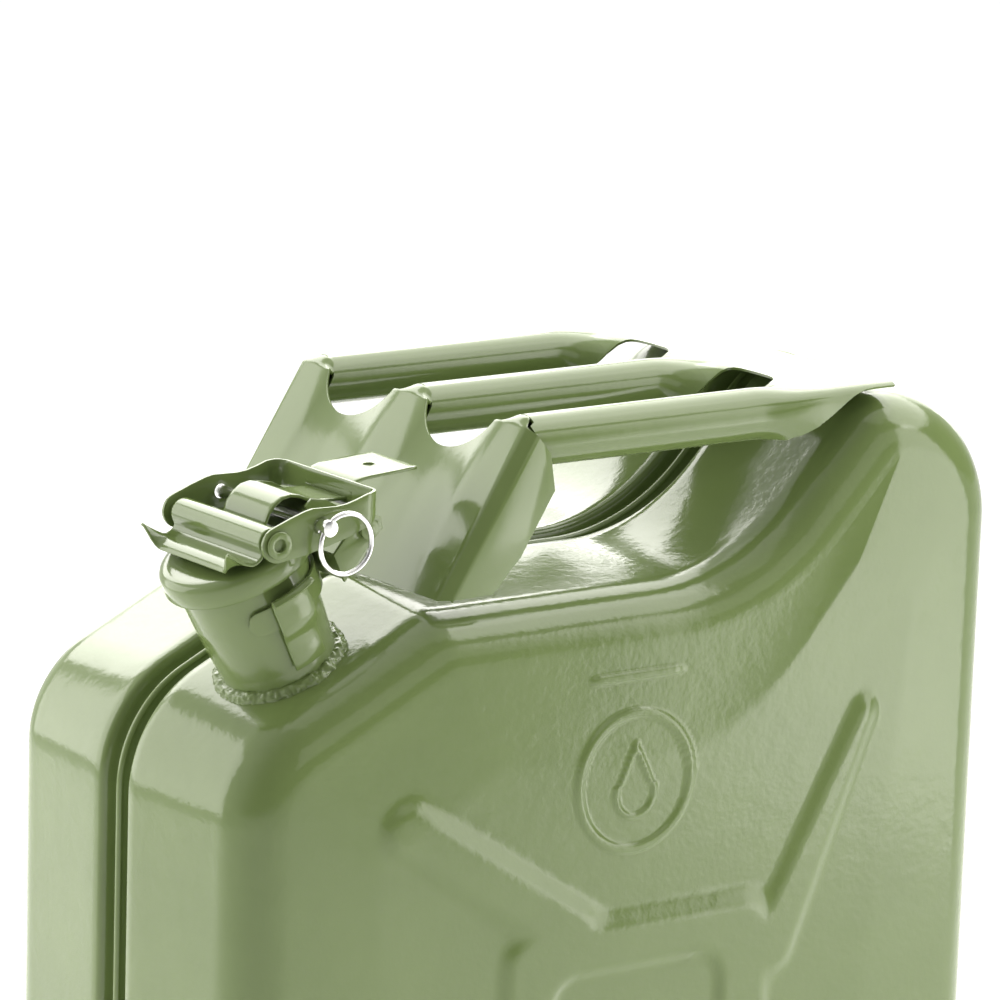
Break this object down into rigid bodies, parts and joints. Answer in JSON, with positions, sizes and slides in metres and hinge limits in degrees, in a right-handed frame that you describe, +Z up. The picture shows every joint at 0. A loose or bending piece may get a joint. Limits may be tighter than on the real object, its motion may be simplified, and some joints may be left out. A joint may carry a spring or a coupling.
{
  "type": "jerry can",
  "caption": "Flat-sided pressed-steel fuel can with a lever-lock filler cap, a locking pin on a ring, and a carrying handle of parallel bars.",
  "frame": {"origin": "centre of the bounding box in plan, on the ground the can stands on", "axes": "+Z up, +X from the filler towards the rear hump, +Y across the can towards the half without the filler"},
  "size_m": [0.3456, 0.165, 0.467],
  "materials": {
    "paint": "gloss",
    "gasket": "matte",
    "zinc": "bright zinc"
  },
  "bodies": {
    "can": {"shell_near": "paint", "shell_far": "paint", "seam_weld": "paint", "neck": "paint", "neck_weld": "paint", "neck_band": "paint", "lug_near": "paint", "lug_far": "paint", "hinge_bracket": "paint", "hinge_pin": "paint", "vent_tube": "paint", "vent_clip": "paint", "handle_front": "paint", "handle_bar_near": "paint", "handle_bar_mid": "paint", "handle_bar_far": "paint", "handle_rear": "paint"},
    "cap": {"cap": "paint", "cap_gasket": "gasket", "hinge_arms": "paint", "thumb_plate": "paint", "pivot_tube": "paint"},
    "lever": {"lever_yoke": "paint", "lever_strap": "paint"},
    "pin": {"safety_pin": "zinc"},
    "ring": {"split_ring": "zinc"}
  },
  "joints": [
    {"name": "cap_hinge", "type": "hinge", "parent": "can", "child": "cap", "pos_m": [-0.10648, -0.037, 0.4316], "axis": [0, 1, 0], "range_deg": [0, 45]},
    {"name": "lever_pivot", "type": "hinge", "parent": "cap", "child": "lever", "pos_m": [-0.15127, -0.037, 0.43312], "axis": [0, -1, 0], "range_deg": [0, 100]},
    {"name": "pin_slide", "type": "slide", "parent": "lever", "child": "pin", "axis": [0, -1, 0], "range_m": [0, 0.075]},
    {"name": "ring_swing", "type": "hinge", "parent": "pin", "child": "ring", "pos_m": [-0.13398, -0.072, 0.43812], "axis": [-0.6293, 0, -0.7771], "range_deg": [0, 80]}
  ]
}
